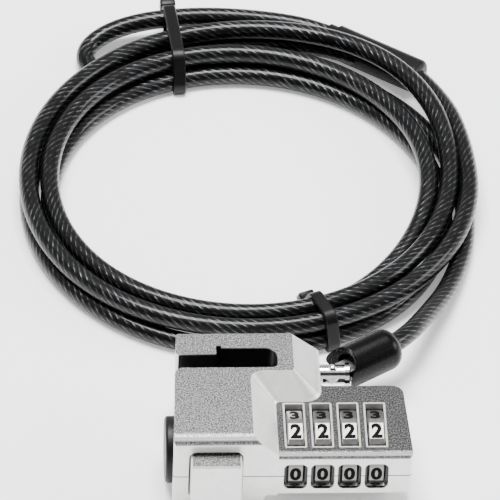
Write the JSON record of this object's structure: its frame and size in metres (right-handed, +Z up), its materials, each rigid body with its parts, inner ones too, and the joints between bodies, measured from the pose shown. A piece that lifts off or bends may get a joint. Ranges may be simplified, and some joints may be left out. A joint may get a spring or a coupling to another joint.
{
  "type": "laptop cable lock",
  "caption": "Combination lock body with number wheels, slotted for a tablet's locking bar, on a swivelling coiled steel security cable with an eye loop.",
  "frame": {"origin": "middle of the lock's footprint (without the cable), on the surface it lies on", "axes": "+X along the number wheels' shaft from the release button to the last wheel, +Y from the push tab to the back, +Z up out of the grained top"},
  "size_m": [0.1224, 0.1849, 0.023],
  "materials": {
    "housing": "sprayed silver with fine grain",
    "tab": "sprayed silver",
    "screw": "black zinc",
    "steel": "satin",
    "wheel": "bright nickel",
    "chrome": "polished",
    "brass": "satin",
    "button": "satin black",
    "rubber": "matte",
    "black_gloss": "gloss black",
    "cable_jacket": "clear smoked vinyl over twisted steel wire",
    "sleeve": "satin black",
    "nylon": "satin black"
  },
  "bodies": {
    "lock_body": {"upper_housing": "housing", "lower_housing": "housing", "housing_screws": "screw", "slot_pad": "rubber", "detent_spring_plate": "steel", "shaft_end_bush": "brass", "tab_spring": "steel", "release_spring": "steel"},
    "push_tab": {"push_tab": "tab", "locking_bolt": "steel"},
    "release_shaft": {"release_button": "button", "code_shaft": "steel"},
    "wheel_1": {"number_wheel_1": "wheel", "code_hub_1": "brass"},
    "wheel_2": {"number_wheel_2": "wheel", "code_hub_2": "brass"},
    "wheel_3": {"number_wheel_3": "wheel", "code_hub_3": "brass"},
    "wheel_4": {"number_wheel_4": "wheel", "code_hub_4": "brass"},
    "swivel": {"swivel_stud": "chrome", "retaining_ring": "steel", "pivot_pin": "chrome"},
    "cable": {"cable_ferrule": "steel", "cable_cap": "black_gloss", "cable_lead": "cable_jacket", "cable_eye": "cable_jacket", "cable_coil": "cable_jacket", "crimp_sleeve": "sleeve", "cable_tie_rear": "nylon", "cable_tie_front": "nylon"}
  },
  "joints": [
    {"name": "tab_slide", "type": "slide", "parent": "lock_body", "child": "push_tab", "axis": [0, 1, 0], "range_m": [0, 0.0044], "stiffness_N_per_m": 300, "springref_m": -0.004, "deforming": ["tab_spring"]},
    {"name": "release_slide", "type": "slide", "parent": "lock_body", "child": "release_shaft", "axis": [1, 0, 0], "range_m": [0, 0.0013], "stiffness_N_per_m": 600, "springref_m": -0.002, "deforming": ["release_spring"]},
    {"name": "wheel_1_spin", "type": "hinge", "parent": "lock_body", "child": "wheel_1", "pos_m": [0.00125, -0.0072, 0.0102], "axis": [1, 0, 0], "continuous": true},
    {"name": "wheel_2_spin", "type": "hinge", "parent": "lock_body", "child": "wheel_2", "pos_m": [0.00798, -0.0072, 0.0102], "axis": [1, 0, 0], "continuous": true},
    {"name": "wheel_3_spin", "type": "hinge", "parent": "lock_body", "child": "wheel_3", "pos_m": [0.01471, -0.0072, 0.0102], "axis": [1, 0, 0], "continuous": true},
    {"name": "wheel_4_spin", "type": "hinge", "parent": "lock_body", "child": "wheel_4", "pos_m": [0.02144, -0.0072, 0.0102], "axis": [1, 0, 0], "continuous": true},
    {"name": "swivel_turn", "type": "hinge", "parent": "lock_body", "child": "swivel", "pos_m": [0.012, 0.0171, 0.0126], "axis": [1, 0, 0], "range_deg": [0, 60]},
    {"name": "cable_swing", "type": "hinge", "parent": "swivel", "child": "cable", "pos_m": [0.012, 0.0171, 0.0126], "axis": [0, 0, 1], "range_deg": [-35, 12]}
  ]
}
